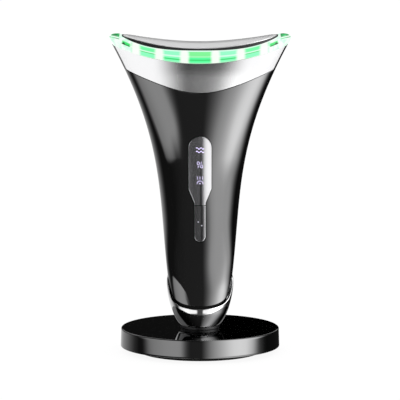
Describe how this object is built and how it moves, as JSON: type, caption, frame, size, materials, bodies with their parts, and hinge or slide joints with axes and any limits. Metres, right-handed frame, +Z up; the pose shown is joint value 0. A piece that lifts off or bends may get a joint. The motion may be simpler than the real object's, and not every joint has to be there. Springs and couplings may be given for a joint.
{
  "type": "facial toning device",
  "caption": "Hand-held face and neck toning wand with a curved metal contact plate, a lit edge and a press button, standing on a round charging base.",
  "frame": {"origin": "centre of the base disc's underside, on the surface it stands on", "axes": "+Z up, the wand's front with its window and button faces -Y, +X to the right seen from the front"},
  "size_m": [0.091, 0.08, 0.1609],
  "materials": {
    "gunmetal": "glossy dark gunmetal, anodised and lacquered",
    "base_gloss": "glossy dark gunmetal lacquer",
    "polished_chrome": "mirror polished",
    "silver_collar": "polished silver",
    "clear_guide": "clear acrylic, lit green from inside",
    "window_silver": "silvered gloss window with lit symbols",
    "button_gloss": "glossy dark silver with a bright rim",
    "gasket_black": "smooth black silicone",
    "seat_black": "satin black",
    "foot_rubber": "matt rubber",
    "base_underside": "fine-textured plastic",
    "dark_plastic": "moulded",
    "light_plastic": "moulded",
    "circuit_board": "solder mask",
    "strip_white": "white flexible board",
    "heater_film": "amber film",
    "sensor_ceramic": "ceramic",
    "led_lens": "clear lens, lit",
    "battery_wrap": "shrink sleeve",
    "contact_gold": "gold plated",
    "steel": "plain steel",
    "magnet_nickel": "nickel plated",
    "lead_red": "wire sleeve",
    "lead_white": "wire sleeve"
  },
  "bodies": {
    "base": {"foot_ring": "foot_rubber", "base_cover": "base_underside", "base_weight": "steel", "base_shell": "base_gloss", "base_screws": "steel", "base_magnet": "magnet_nickel", "charge_board": "circuit_board", "charge_inlet": "steel", "base_leads": "lead_red", "seat_ring": "seat_black", "stem_nut": "steel", "pin_board": "circuit_board", "pin_sleeves": "contact_gold", "pin_spring_left": "steel", "pin_spring_right": "steel"},
    "wand": {"end_cap": "polished_chrome", "cap_magnet": "magnet_nickel", "contact_holder": "seat_black", "charge_contacts": "contact_gold", "front_shell": "gunmetal", "rear_shell": "gunmetal", "head_collar": "silver_collar", "light_guide": "clear_guide", "contact_plate": "polished_chrome", "plate_gasket": "gasket_black", "film_heater": "heater_film", "temperature_sensor": "sensor_ceramic", "head_carrier": "dark_plastic", "guide_strip": "strip_white", "guide_leds": "led_lens", "display_window": "window_silver", "light_pipes": "light_plastic", "indicator_leds": "led_lens", "button_switch": "steel", "control_board": "circuit_board", "board_screws": "steel", "inner_frame": "dark_plastic", "frame_screws": "steel", "carrier_screws": "steel", "battery": "battery_wrap", "battery_clips": "light_plastic", "power_board": "circuit_board", "vibration_motor": "steel", "motor_saddle": "light_plastic", "battery_leads": "lead_red", "head_leads": "lead_white", "charge_leads": "lead_red"},
    "button": {"power_button": "button_gloss", "switch_plunger": "dark_plastic"},
    "rotor": {"motor_rotor": "steel"},
    "pin_left": {"spring_pin_left": "contact_gold"},
    "pin_right": {"spring_pin_right": "contact_gold"}
  },
  "joints": [
    {"name": "wand_lift", "type": "slide", "parent": "base", "child": "wand", "axis": [0, 0, 1], "range_m": [0, 0.06]},
    {"name": "button_press", "type": "slide", "parent": "wand", "child": "button", "axis": [0, 1, 0], "range_m": [0, 0.0004], "stiffness_N_per_m": 2500, "springref_m": -0.0001},
    {"name": "motor_spin", "type": "hinge", "parent": "wand", "child": "rotor", "pos_m": [0, 0.0021, 0.126], "axis": [1, 0, 0], "continuous": true},
    {"name": "pin_left_press", "type": "slide", "parent": "base", "child": "pin_left", "axis": [0, 0, -1], "range_m": [0, 0.0008], "stiffness_N_per_m": 500, "springref_m": -0.0004, "deforming": ["pin_spring_left"]},
    {"name": "pin_right_press", "type": "slide", "parent": "base", "child": "pin_right", "axis": [0, 0, -1], "range_m": [0, 0.0008], "stiffness_N_per_m": 500, "springref_m": -0.0004, "deforming": ["pin_spring_right"]}
  ]
}
